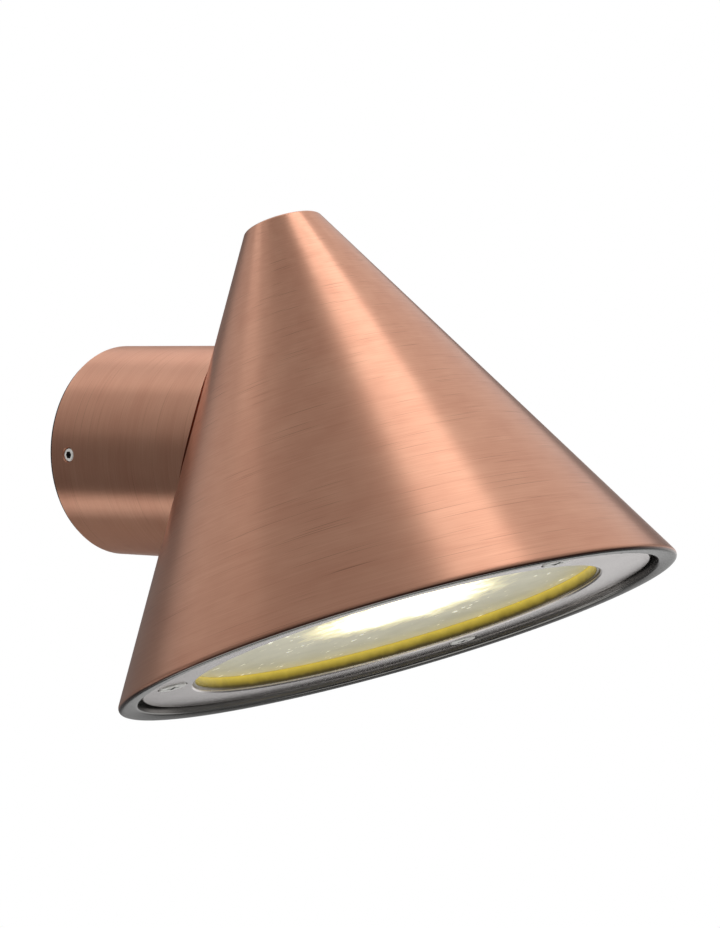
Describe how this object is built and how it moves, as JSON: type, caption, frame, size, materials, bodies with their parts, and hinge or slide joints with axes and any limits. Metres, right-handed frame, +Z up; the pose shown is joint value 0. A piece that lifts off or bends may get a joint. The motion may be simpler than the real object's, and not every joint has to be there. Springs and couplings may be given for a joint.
{
  "type": "wall light",
  "caption": "Outdoor wall light: a brushed copper cone on a short round barrel, leaning out from the wall, with a textured glass held by a screwed ring.",
  "frame": {"origin": "centre of the wall bracket's back face, on the wall", "axes": "+Z up, +Y into the wall, the light stands out along -Y; X is across"},
  "size_m": [0.1638, 0.1862, 0.1498],
  "materials": {
    "shade_copper": "copper plated, brushed round the axis and lacquered; bare satin rim",
    "barrel_copper": "copper plated, brushed round the axis and lacquered",
    "ring_metal": "satin",
    "stainless_screws": "bright",
    "lens_glass": "pressed with a bubbly texture",
    "seal_silicone": "glossy, yellowed by the lamp",
    "bracket_steel": "zinc plated",
    "zinc_steel": "zinc plated",
    "black_rubber": "matt",
    "brass_parts": "plain",
    "nylon_white": "moulded",
    "ceramic_white": "glazed",
    "lead_brown": "silicone sleeve",
    "lead_blue": "silicone sleeve",
    "lamp_white": "moulded",
    "lamp_front": "frosted, lit"
  },
  "bodies": {
    "bracket": {"wall_plate": "bracket_steel", "wall_gasket": "black_rubber", "cable_grommet": "black_rubber", "plate_earth_screw": "brass_parts", "plate_earth_washer": "brass_parts"},
    "set_screw_left": {"set_screw_left": "stainless_screws"},
    "set_screw_right": {"set_screw_right": "stainless_screws"},
    "glass_ring": {"retaining_ring": "ring_metal", "ring_screws": "stainless_screws", "lens_seal": "seal_silicone", "lens_glass": "lens_glass"},
    "lamp": {"lamp_housing": "lamp_white", "lamp_diffuser": "lamp_front", "lamp_base": "nylon_white", "lamp_pins": "zinc_steel"},
    "head": {"barrel_earth_screw": "brass_parts", "barrel_earth_washer": "brass_parts", "barrel_nut": "zinc_steel", "barrel_spring_washer": "zinc_steel", "holder_strap": "zinc_steel", "hollow_stem": "zinc_steel", "lampholder_body": "ceramic_white", "lampholder_cap": "ceramic_white", "lampholder_contacts": "brass_parts", "lampholder_screws": "zinc_steel", "live_lead": "lead_brown", "mounting_barrel": "barrel_copper", "neutral_lead": "lead_blue", "shade_cone": "shade_copper", "shade_nut": "zinc_steel", "shade_seal_washer": "black_rubber", "stem_bush": "nylon_white", "strap_screws": "zinc_steel", "terminal_block": "ceramic_white", "terminal_fixing_screw": "zinc_steel", "terminal_inserts": "brass_parts", "terminal_screws": "zinc_steel"}
  },
  "joints": [
    {"name": "head_turn", "type": "hinge", "parent": "bracket", "child": "head", "pos_m": [0, 0, 0], "axis": [0, -1, 0], "range_deg": [-90, 90]},
    {"name": "set_screw_left_travel", "type": "slide", "parent": "head", "child": "set_screw_left", "axis": [-1, 0, 0], "range_m": [0, 0.0015]},
    {"name": "set_screw_right_travel", "type": "slide", "parent": "head", "child": "set_screw_right", "axis": [1, 0, 0], "range_m": [0, 0.0015]},
    {"name": "glass_ring_removal", "type": "slide", "parent": "head", "child": "glass_ring", "axis": [0, -0.342, -0.9397], "range_m": [0, 0.06]},
    {"name": "lamp_twist", "type": "hinge", "parent": "head", "child": "lamp", "pos_m": [0, -0.10951, -0.0514], "axis": [0, 0.342, 0.9397], "range_deg": [0, 20]}
  ]
}
